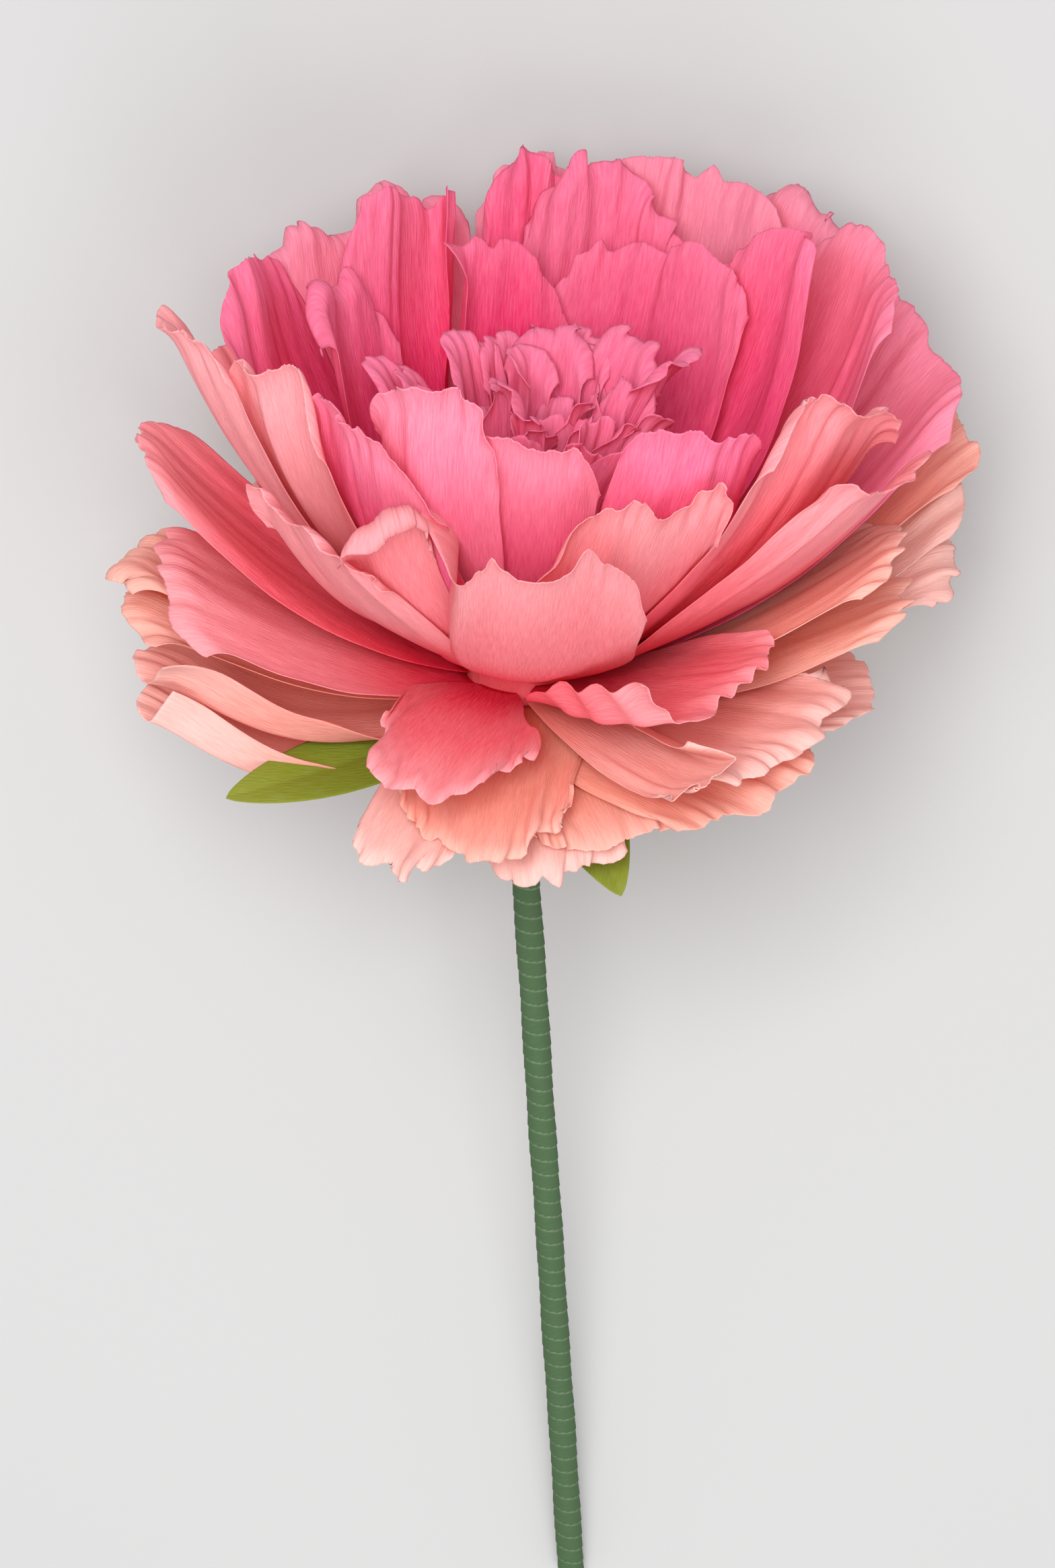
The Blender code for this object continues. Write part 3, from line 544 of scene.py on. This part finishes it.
def work_petal(finish, points, sheet, along, chance):
    """Twist, pleat, curl, fold and flute a petal's grid."""
    across = sheet[..., 0]
    share = across / np.abs(across).max()
    waves = chance.uniform(0, 2 * math.pi, 6)
    if "sag" in finish:
        points = points - np.array([0, 0, finish["sag"] / 1000]) * np.sin(math.pi * along)[..., None]
    if "twist" in finish:
        points = twisted(points, finish["twist"], along[:, 0])
    drift = PLEAT_DRIFT * np.sin(2 * math.pi * across / PLEAT_DRIFT_PITCH + waves[4])
    pleat = np.sin(2 * math.pi * across / LONG_PLEAT + waves[0] + drift)
    pleat = pleat + SHORT_PLEAT_SHARE * np.sin(2 * math.pi * across / SHORT_PLEAT + waves[1] - drift)
    for _ in range(chance.integers(2, 6)):
        place, wide = chance.uniform(-0.85, 0.85), chance.uniform(*CREASE_WIDTHS)
        high = chance.uniform(*CREASE_HEIGHTS) * finish.get("creases", 1)
        crease = np.exp(-((across - place * np.abs(across).max(-1, keepdims=True)) / wide) ** 2)
        points = points + face_normals(points) * (high * crease * ramp(along, 0.3, 0.95))[..., None]
    lips = np.where(share > 0, chance.uniform(*SIDE_LIFTS), chance.uniform(*SIDE_LIFTS))
    lips = lips * ramp(np.abs(share), 0.7, 1.0) * ramp(along, 0.3, 0.9)
    depth = finish.get("pleats", chance.uniform(0.3, 1.3)) / 1000 * along ** 1.4
    if "ruffle" in finish:
        side, height, pitch = finish["ruffle"]
        near = ramp(side * share, 0.2, 1.0) * ramp(along, 0.15, 0.5)
        swell = np.sin(2000 * math.pi * sheet[..., 1] / pitch + waves[5])
        lips = lips + RUFFLE_OUT_SHARE * near * height / 1000 * swell
    points = points + face_normals(points) * (depth * pleat + lips)[..., None]
    degrees, part, lean = finish.get("curl", (chance.uniform(10, 60), chance.uniform(0.07, 0.13), 0))
    points = curl_rim(points, along[:, 0], degrees, part, lean)
    if "fold" in finish:
        points = fold_side(points, *finish["fold"], along[:, 0])
    drift = FLUTE_DRIFT * np.sin(2 * math.pi * across / FLUTE_DRIFT_PITCH + waves[3])
    flute = np.sin(2 * math.pi * across / FLUTE_PITCH + waves[2] + drift)
    strength = finish.get("flutes", chance.uniform(0.5, 1.6)) / 1000 * ramp(along, FLUTES_FROM, 1.0)
    strength = strength * (1 + FLUTE_SWELL * np.sin(2 * math.pi * across / FLUTE_SWELL_PITCH + waves[4]))
    return points + face_normals(points) * (strength * flute)[..., None]


def paper_colours_with_shade(paper, along, sheet, fade, chance, tone_and_shade=0.0):
    """The colour of each point of a petal, from root to rim, with painted shade: the deep root colour near the base
    stands for the shade of the recesses there. A larger fade brings the rim's colour further down.
    """
    root, body, rim = (linear(hexed) for hexed in PAPERS_WITH_ROOT_SHADE[paper])
    body = body + (rim - body) * tone_and_shade
    drift = 0.08 * np.sin(sheet[..., 0] / 0.03 + chance.uniform(0, 6)) * along
    # painted shade: towards the base the colour goes over to the deep root colour
    root_shade_mask = 1 - ramp(along + drift, 0.06, 0.52)
    near_rim = ramp(along + drift, 0.62 - fade, 1.08 - fade)
    colour = body + (root - body) * root_shade_mask[..., None]
    return colour + (rim - colour) * (0.85 * near_rim)[..., None]


# Making pieces
def paper_piece(name, points, sheet, colours, material, slot, *nodes):
    """A closed sheet of paper from a grid of world points."""
    rows, columns = points.shape[:2]
    bpy.ops.mesh.primitive_grid_add(x_subdivisions=columns - 1, y_subdivisions=rows - 1, size=2)
    piece = bpy.context.object
    piece.name = name
    mesh = piece.data
    flat = np.zeros(len(mesh.vertices) * 3)
    mesh.vertices.foreach_get("co", flat)
    flat = flat.reshape(-1, 3)
    column = np.rint((flat[:, 0] + 1) / 2 * (columns - 1)).astype(int)
    row = np.rint((flat[:, 1] + 1) / 2 * (rows - 1)).astype(int)
    mesh.vertices.foreach_set("co", points[row, column].ravel())
    loops = np.zeros(len(mesh.loops), int)
    mesh.loops.foreach_get("vertex_index", loops)
    mesh.uv_layers[0].name = "cut_sheet"
    mesh.uv_layers[0].data.foreach_set("uv", sheet[row, column][loops].ravel())
    # the colour of each point, painted root shade included, kept on the mesh
    tint = mesh.color_attributes.new("paper_colour", "FLOAT_COLOR", "POINT")
    rgba = np.concatenate([colours[row, column], np.ones((len(row), 1))], 1)
    tint.data.foreach_set("color", rgba.ravel())
    mesh.materials.append(material)
    mesh.update()
    bpy.ops.object.shade_smooth()
    thick = piece.modifiers.new("Paper", "SOLIDIFY")
    thick.thickness = PAPER_THICKNESS
    thick.offset = 0.0
    bpy.ops.object.modifier_apply(modifier=thick.name)
    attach(piece, "root")
    if nodes:
        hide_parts(*nodes)
    piece.select_set(False)
    return piece


class Socket:
    """A shader socket that takes part in Python sums."""

    def __init__(self, tree, link):
        self.tree = tree
        self.link = link

    def math(self, operation, *others):
        node = self.tree.nodes.new("ShaderNodeMath")
        node.operation = operation
        for place, value in zip(node.inputs, (self, *others)):
            join(self.tree, place, value)
        return Socket(self.tree, node.outputs[0])

    def __add__(self, other):
        return self.math("ADD", other)

    __radd__ = __add__

    def __mul__(self, other):
        return self.math("MULTIPLY", other)

    __rmul__ = __mul__

    def __sub__(self, other):
        return self.math("SUBTRACT", other)

    def __rsub__(self, other):
        return (self * -1) + other


def join(tree, place, value):
    """Link or set one input."""
    if isinstance(value, Socket):
        tree.links.new(value.link, place)
    else:
        place.default_value = value


def add_node(tree, kind, settings=(), **inputs):
    """A shader node with its settings first, then its inputs by name, with spaces as underscores."""
    node = tree.nodes.new(kind)
    for key, value in dict(settings).items():
        setattr(node, key, value)
    for key, value in inputs.items():
        join(tree, node.inputs[key.replace("_", " ")], value)
    return node


def out(tree, node, name=0):
    """A node's output as a socket."""
    return Socket(tree, node.outputs[name])


def new_material(name):
    """A material with its tree, its Principled shader and its output."""
    made = bpy.data.materials.new(name)
    made.use_nodes = True
    tree = made.node_tree
    return made, tree, tree.nodes["Principled BSDF"], tree.nodes["Material Output"]


def stretched_noise(tree, place, grain, **inputs):
    """Noise with its own grain size, in metres, along each axis of the place. A grain of None is even."""
    stretched = add_node(tree, "ShaderNodeVectorMath", {"operation": "MULTIPLY"})
    join(tree, stretched.inputs[0], place)
    stretched.inputs[1].default_value = [1 / size if size else 0 for size in grain]
    noise = add_node(tree, "ShaderNodeTexNoise", Vector=out(tree, stretched), Scale=1.0, **inputs)
    return out(tree, noise, "Fac")


def two_tones(tree, shader, share, first, second):
    """Give the shader a colour that goes from the first to the second."""
    tones = add_node(tree, "ShaderNodeMix", {"data_type": "RGBA"})
    join(tree, tones.inputs[0], share)
    tones.inputs[6].default_value = (*linear(first), 1)
    tones.inputs[7].default_value = (*linear(second), 1)
    join(tree, shader.inputs["Base Color"], out(tree, tones, 2))


# The ribs and the streaks of the crepe: their width and their length along the petal
RIB_GRAIN = (0.001, 0.014, None)
STREAK_GRAIN = (0.011, 0.16, None)
LIGHT_THROUGH = 0.34


def crepe_material(name, glow, through_share=LIGHT_THROUGH):
    """Crepe paper: ribs along the petal, streaks in the colour and a little light through the sheet."""
    made, tree, shader, output = new_material(name)
    uv = out(tree, add_node(tree, "ShaderNodeUVMap", {"uv_map": "cut_sheet"}))
    ribs = stretched_noise(tree, uv, RIB_GRAIN, Detail=3.0, Roughness=0.6)
    streaks = stretched_noise(tree, uv, STREAK_GRAIN, Detail=2.0)
    # the colour of each point, painted root shade included
    tint = out(tree, add_node(tree, "ShaderNodeAttribute", {"attribute_name": "paper_colour"}), "Color")
    value = 1.0 + (ribs - 0.5) * 0.34 + (streaks - 0.5) * 0.10
    shade = add_node(tree, "ShaderNodeHueSaturation", Saturation=1.0 - (ribs - 0.5) * 0.30, Value=value, Color=tint)
    join(tree, shader.inputs["Base Color"], out(tree, shade))
    shader.inputs["Roughness"].default_value = 0.82
    shader.inputs["Specular IOR Level"].default_value = 0.15
    bump = add_node(tree, "ShaderNodeBump", Strength=0.9, Distance=0.0008, Height=ribs)
    join(tree, shader.inputs["Normal"], out(tree, bump))
    through = add_node(tree, "ShaderNodeBsdfTranslucent")
    through.inputs["Color"].default_value = (*glow, 1)
    mixed = add_node(tree, "ShaderNodeMixShader", Fac=through_share)
    join(tree, mixed.inputs[1], out(tree, shader))
    join(tree, mixed.inputs[2], out(tree, through))
    join(tree, output.inputs["Surface"], out(tree, mixed))
    return made


CREPES = {paper: crepe_material(f"{paper}_crepe", (linear(tones[0]) + linear(tones[1])) / 2)
          for paper, tones in PAPERS_WITH_ROOT_SHADE.items()}


def make_petals():
    """Every petal of the bloom, each in the place of its solid."""
    counts = {}
    for number, petal in enumerate(PETALS):
        paper = petal[0]
        counts[paper] = counts.get(paper, 0) + 1
        node = f"{paper}_petal_{counts[paper]:02d}"
        chance = np.random.default_rng(100 + number)
        finish = FINISHES.get(node, {})
        points, sheet, along = petal_grid(petal, finish, chance)
        points = work_petal(finish, points, sheet, along, chance)
        fade = chance.uniform(-0.05, 0.10)
        colours = paper_colours_with_shade(finish.get("dye", paper), along, sheet, fade, chance,
                                finish.get("tone_and_shade", chance.uniform(-0.1, 0.2)))
        paper_piece(f"{node}_crepe", in_world(points), sheet, colours, CREPES[paper], f"{paper}_crepe", node)


# The ruffled heart
FAN_ACROSS = 28
FAN_ALONG = 26
FAN_ROOT_WIDTH = 0.008
FAN_ROOT_RADIUS = 0.022
FAN_ROW_DENSITY = 1.3
FAN_CORNER = 0.13
FAN_CORNER_POWER = 2.6
FAN_WIDEST_AT = 0.8
FAN_ROLL_AT_ROOT = 0.35
FAN_SCALLOP_SHARE = 1 / 130
FAN_FLUTE_PITCH = 0.010
FAN_FLUTE_DEPTH = 0.0008
FAN_PLEAT_PITCH = 0.011
FAN_PLEAT_DEPTH = 0.0011
HEART_FADE = 0.06
HEART_TONE = 0.30
# Which strip a fan belongs to, the azimuth and radius of its top, its height over the bloom's base and its width in
# mm, how far round it is rolled in degrees (outward is positive), its turn about its own length, and its rim curl.
FANS = (
    (2, -122, 66, 223, 52, 130, 0, 50),
    (2, -179, 46, 230, 46, 80, 10, 110),
    (1, -150, 30, 219, 34, 240, -20, 60),
    (2, 133, 60, 231, 60, 110, -15, 70),
    (2, 104, 79, 233, 42, 120, 40, 90),
    (1, 90, 20, 198, 32, 150, 30, 60),
    (1, 100, 38, 209, 36, -140, -30, 40),
    (1, 74, 56, 197, 40, 120, 20, 50),
    (1, 67, 26, 192, 34, 170, -50, 30),
    (2, -55, 26, 213, 58, 110, 10, 80),
    (2, -90, 86, 205, 52, 90, -10, 40),
    (2, 165, 62, 224, 54, 60, 20, 40),
    (2, -150, 62, 216, 50, 100, -20, 60),
    (2, 118, 60, 216, 48, -80, 10, 40),
    (2, -100, 104, 208, 40, 120, 20, 60),
)
# The smaller fans between them: strip, count, least and greatest radius, and least and greatest height, in mm.
EXTRA_FANS = ((1, 9, 6, 40, 184, 202), (2, 10, 48, 84, 180, 200))
GOLDEN_ANGLE = 137.5


def fan_grid(chance, azimuth, radius, height, width, roll, turn, curl):
    """One small fan of the heart: narrow at its root, rolled across, rounded and curled at its top."""
    radius, height, width = radius / 1000, height / 1000, width / 1000
    across = np.linspace(-1, 1, FAN_ACROSS + 1)[None]
    along = 1 - (1 - np.linspace(0, 1, FAN_ALONG + 1)[:, None]) ** FAN_ROW_DENSITY
    rim = 1 - FAN_CORNER * np.abs(across) ** FAN_CORNER_POWER
    rim = rim + rim_line(across, scallops(chance, 1.6 * width)) * FAN_SCALLOP_SHARE
    reach = along * (rim + 0.002 * chance.standard_normal(across.shape))
    root = min(FAN_ROOT_RADIUS, radius * 0.6)
    start_height = CORE_MIDDLE + CORE_HALF_HEIGHT * math.sqrt(1 - (root / CORE_RADIUS) ** 2)
    outward = root + (radius - root) * (0.55 * reach + 0.45 * reach ** 2)
    rise = start_height + (height - start_height) * reach
    spread = np.sin(np.minimum(along / FAN_WIDEST_AT, 1) * math.pi / 2) ** 1.2
    half = (FAN_ROOT_WIDTH + (width - FAN_ROOT_WIDTH) * spread) / 2
    arc = math.radians(roll) / 2 * (FAN_ROLL_AT_ROOT + (1 - FAN_ROLL_AT_ROOT) * along)
    bow = half / arc
    sideways, depth = bow * np.sin(arc * across), bow * (np.cos(arc * across) - 1)
    pleat = np.sin(2 * math.pi * across * half / FAN_PLEAT_PITCH + chance.uniform(0, 6))
    depth = depth + FAN_PLEAT_DEPTH * along * pleat
    twist = math.radians(turn)
    x = sideways * math.cos(twist) - depth * math.sin(twist)
    outward = outward + sideways * math.sin(twist) + depth * math.cos(twist)
    facing = math.radians(azimuth)
    points = np.stack([outward * math.sin(facing) + x * math.cos(facing),
                       -outward * math.cos(facing) + x * math.sin(facing), rise], -1)
    sheet = np.stack(np.broadcast_arrays(across * half, along * (height - start_height)), -1)
    points = curl_rim(points, along[:, 0], curl, chance.uniform(0.08, 0.13), 0)
    flute = np.sin(2 * math.pi * sheet[..., 0] / FAN_FLUTE_PITCH + chance.uniform(0, 6))
    points = points + face_normals(points) * (FAN_FLUTE_DEPTH * ramp(along, 0.75, 1.0) * flute)[..., None]
    return points, sheet, along


def all_fans(chance):
    """The fans that stand out, and the crowd of smaller ones between them."""
    yield from FANS
    for strip, count, near, far, low, high in EXTRA_FANS:
        for number in range(count):
            share = (number + 0.5) / count
            yield (strip, number * GOLDEN_ANGLE + 25, near + (far - near) * math.sqrt(share),
                   chance.uniform(low, high), chance.uniform(32, 48),
                   chance.uniform(60, 170) * chance.choice((-1, 1)),
                   chance.uniform(-50, 50), chance.uniform(-30, 120))


def make_heart():
    """Two sets of fans, the inner one and the one round it, each in the place of its rolled strip."""
    chance = np.random.default_rng(41)
    ruffle_crepe = crepe_material("ruffle_crepe", linear("#FF3470"), 0.30)
    sets = {1: [], 2: []}
    for number, (strip, *shape) in enumerate(all_fans(chance), 1):
        points, sheet, along = fan_grid(chance, *shape)
        colours = paper_colours_with_shade("hot_pink", along, sheet, HEART_FADE, chance, HEART_TONE)
        sets[strip].append(paper_piece(f"heart_fan_{number:02d}", in_world(points), sheet, colours,
                                       ruffle_crepe, "hot_pink_crepe"))
    for strip, fans in sets.items():
        for fan in fans:
            fan.select_set(True)
        bpy.context.view_layer.objects.active = fans[0]
        bpy.ops.object.join()
        heart = bpy.context.object
        heart.name = f"heart_ruffle_{strip}"
        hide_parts(f"centre_strip_{strip}")
        heart.select_set(False)


# Calyx
CALYX_RING = 8.8
CALYX_RING_GAIN = 0.20
CALYX_COLLAR = 0.022
CALYX_LEAVES = ((-60, 0.172), (30, 0.140), (120, 0.170), (-150, 0.165))
CALYX_LEAF_WIDTH = 0.052
COLLAR_AROUND = 96
COLLAR_ALONG = 8
LEAF_ACROSS = 32
LEAF_ALONG = 48


def leaf_points(ring, azimuth, length, across, along):
    """A lens-shaped leaf on the calyx's ring."""
    half = CALYX_LEAF_WIDTH / 2 * np.sin(math.pi * np.clip(0.12 + 0.88 * along, 0, 1)) ** 0.75
    distance = along * length
    middle_radius, _ = field_profile(ring, math.radians(azimuth), distance)
    angle = math.radians(azimuth) + across * half / middle_radius
    points = field_point(ring, angle, distance)
    crease = 0.004 * (1 - np.abs(across)) ** 1.5 * np.sin(math.pi * along)
    return points + face_normals(points) * crease[..., None], half


def make_calyx():
    """The green collar round the stem's top and the leaves that come from under it."""
    green = CREPES["leaf_green"]
    angle = 2 * math.pi * np.linspace(0, 1, COLLAR_AROUND + 1)[None]
    along = np.linspace(0, 1, COLLAR_ALONG + 1)[:, None]
    distance = along * CALYX_COLLAR * (1 + 0.06 * np.cos(9 * angle))
    points = field_point(CALYX_RING + 0.1 + 0 * angle, angle, distance)
    sheet = np.stack(np.broadcast_arrays(angle * 0.03, distance), -1)
    chance = np.random.default_rng(7)
    colours = paper_colours_with_shade("leaf_green", along, sheet, 0.0, chance)
    paper_piece("calyx_collar", in_world(points), sheet, colours, green, "leaf_green_crepe", "calyx")
    across = np.linspace(-1, 1, LEAF_ACROSS + 1)[None]
    along = np.linspace(0.02, 1, LEAF_ALONG + 1)[:, None]
    for number, (azimuth, length) in enumerate(CALYX_LEAVES, 1):
        ring = CALYX_RING + CALYX_RING_GAIN * (azimuth % 360) / 360
        points, half = leaf_points(ring, azimuth, length, across, along)
        sheet = np.stack(np.broadcast_arrays(across * half * 0.8 + along * 0.05, along * length - across * half), -1)
        colours = paper_colours_with_shade("leaf_green", along, sheet, 0.0, chance)
        paper_piece(f"calyx_leaf_{number}", in_world(points), sheet, colours, green, "leaf_green_crepe")


# Stem
ROD_RADIUS = 0.006
WRAP_CLEARANCE = 0.0003
WRAP_THICKNESS = 0.0022
WRAP_TOP = 0.008
TAPE_PITCH = 0.010
TAPE_STEP = 0.0006
TAPE_STEP_AT_TOP = 0.35
TAPE_DARK, TAPE_PALE = "#46603F", "#8A9C80"
WRAP_AROUND = 48
WRAP_ALONG = 780


def tape_material():
    """Green crepe tape with pale lines where each turn laps over the last."""
    made, tree, shader, _ = new_material("green_tape")
    uv = out(tree, add_node(tree, "ShaderNodeUVMap", {"uv_map": "cut_sheet"}))
    ribs = stretched_noise(tree, uv, (0.010, 0.0009, None), Detail=3.0)
    tint = out(tree, add_node(tree, "ShaderNodeAttribute", {"attribute_name": "paper_colour"}), "Color")
    shade = add_node(tree, "ShaderNodeHueSaturation", Value=1.0 + (ribs - 0.5) * 0.30, Color=tint)
    join(tree, shader.inputs["Base Color"], out(tree, shade))
    shader.inputs["Roughness"].default_value = 0.78
    shader.inputs["Specular IOR Level"].default_value = 0.3
    bump = add_node(tree, "ShaderNodeBump", Strength=0.5, Distance=0.0004, Height=ribs)
    join(tree, shader.inputs["Normal"], out(tree, bump))
    return made


def make_stem():
    """The tape wound round the rod, lap over lap."""
    length = STEM_LENGTH - WRAP_TOP
    turn = np.linspace(0, 2 * math.pi, WRAP_AROUND + 1)[None]
    along = WRAP_TOP + length * np.linspace(0, 1, WRAP_ALONG + 1)[:, None]
    smooth = ramp(along, 0.05, 0.12)
    laps = along / TAPE_PITCH + turn / (2 * math.pi)
    place = laps - np.floor(laps)
    wobble = 0.00015 * np.sin(3 * turn + 40 * along) + 0.0002 * np.sin(90 * along)
    outer = ROD_RADIUS + WRAP_CLEARANCE + WRAP_THICKNESS
    step = TAPE_STEP * (TAPE_STEP_AT_TOP + (1 - TAPE_STEP_AT_TOP) * smooth)
    radius = outer - step * (1 - place) + wobble
    quat = STEM_DIRECTION.to_track_quat("Z", "Y")
    sideways = np.array(quat @ Vector((1, 0, 0)))
    across = np.array(quat @ Vector((0, 1, 0)))
    centre = np.array(BLOOM_BASE) + along[..., None] * np.array(STEM_DIRECTION)
    points = centre + radius[..., None] * (np.cos(turn)[..., None] * sideways + np.sin(turn)[..., None] * across)
    seam = 1 - ramp(place, 0.02, 0.16)
    dark, pale = linear(TAPE_DARK), linear(TAPE_PALE)
    colours = dark + (pale - dark) * (0.55 * seam)[..., None]
    sheet = np.stack(np.broadcast_arrays(turn * outer, along - turn * TAPE_PITCH / (2 * math.pi)), -1)
    paper_piece("stem_tape", points, sheet, colours, tape_material(), "green_tape", "stem_wrap")


def wood_material():
    """Bare dowel wood with its grain along the rod."""
    made, tree, shader, _ = new_material("bare_wood")
    place = out(tree, add_node(tree, "ShaderNodeTexCoord"), "Object")
    grain = stretched_noise(tree, place, (1 / 900, 1 / 30, 1 / 900), Detail=4.0)
    two_tones(tree, shader, grain, "#B98B57", "#DDB98A")
    shader.inputs["Roughness"].default_value = 0.7
    bump = add_node(tree, "ShaderNodeBump", Strength=0.3, Distance=0.0003, Height=grain)
    join(tree, shader.inputs["Normal"], out(tree, bump))
    return made


def core_material():
    """The core, papered over in coral crepe so that nothing white shows between the petals."""
    made, tree, shader, _ = new_material("papered_core")
    place = out(tree, add_node(tree, "ShaderNodeTexCoord"), "Object")
    grain = out(tree, add_node(tree, "ShaderNodeTexNoise", Vector=place, Scale=700.0), "Fac")
    two_tones(tree, shader, grain, "#E8455A", "#F46A70")
    shader.inputs["Roughness"].default_value = 0.85
    return made


def dress_solids():
    """Better finishes for the solids that stay."""
    for node, material in (("stem_rod", wood_material()), ("foam_core", core_material())):
        frame["nodes"][node].material_slots[0].material = material


# Stage
FLOOR_SIZE = 14
FLOOR_ALBEDO = 0.54
KEY_WATTS, KEY_SIZE = 72, 1.5
FILL_WATTS, FILL_SIZE = 28, 1.6
SKY_STRENGTH = 0.58


def make_floor():
    """A plain pale floor."""
    bpy.ops.mesh.primitive_plane_add(size=FLOOR_SIZE)
    floor = bpy.context.object
    floor.name = "floor"
    made, _, shader, _ = new_material("pale_floor")
    shader.inputs["Base Color"].default_value = (FLOOR_ALBEDO, FLOOR_ALBEDO, FLOOR_ALBEDO, 1)
    shader.inputs["Roughness"].default_value = 0.9
    floor.data.materials.append(made)
    floor.select_set(False)


def area_light(name, place, aim, size, power):
    """A soft square lamp at a place, facing a point."""
    bpy.ops.object.light_add(type="AREA", location=place)
    lamp = bpy.context.object
    lamp.name = name
    lamp.data.size = size
    lamp.data.energy = power
    lamp.rotation_euler = (Vector(aim) - Vector(place)).to_track_quat("-Z", "Y").to_euler()
    lamp.select_set(False)


def make_lights():
    """A soft key from beside the camera, a weaker fill from its other side and a pale sky."""
    bloom = BLOOM_BASE + Vector((0, 0.05, 0.08))
    key = bloom + TOWARD * 2.9 + UP * 0.25 - RIGHT * 0.4
    fill = bloom + TOWARD * 2.1 - UP * 1.7 + RIGHT * 0.5
    area_light("key", key, bloom, KEY_SIZE, KEY_WATTS)
    area_light("fill", fill, bloom, FILL_SIZE, FILL_WATTS)
    world = bpy.data.worlds.new("studio")
    bpy.context.scene.world = world
    world.use_nodes = True
    sky = world.node_tree.nodes["Background"]
    sky.inputs["Color"].default_value = (1, 1, 1, 1)
    sky.inputs["Strength"].default_value = SKY_STRENGTH


def make_camera():
    """A camera at the photograph's viewing angle."""
    width, height = PICTURE_SIZE
    off = RIGHT * (width / 2 - BLOOM_BASE_PIXEL[0]) + UP * (BLOOM_BASE_PIXEL[1] - height / 2)
    centre = BLOOM_BASE + off * METRES_PER_PIXEL
    place = centre + TOWARD * CAMERA_DISTANCE
    bpy.ops.object.camera_add(location=place)
    camera = bpy.context.object
    camera.name = "picture_camera"
    facing = Matrix((RIGHT, UP, TOWARD)).transposed()
    camera.rotation_euler = facing.to_euler()
    camera.data.sensor_fit = "VERTICAL"
    camera.data.sensor_height = SENSOR_MM
    camera.data.lens = SENSOR_MM * CAMERA_DISTANCE / (height * METRES_PER_PIXEL)
    bpy.context.scene.camera = camera
    camera.select_set(False)


make_camera()
make_floor()
make_lights()
dress_solids()
make_stem()
make_calyx()
make_heart()
make_petals()

bpy.context.scene.view_settings.view_transform = "Standard"
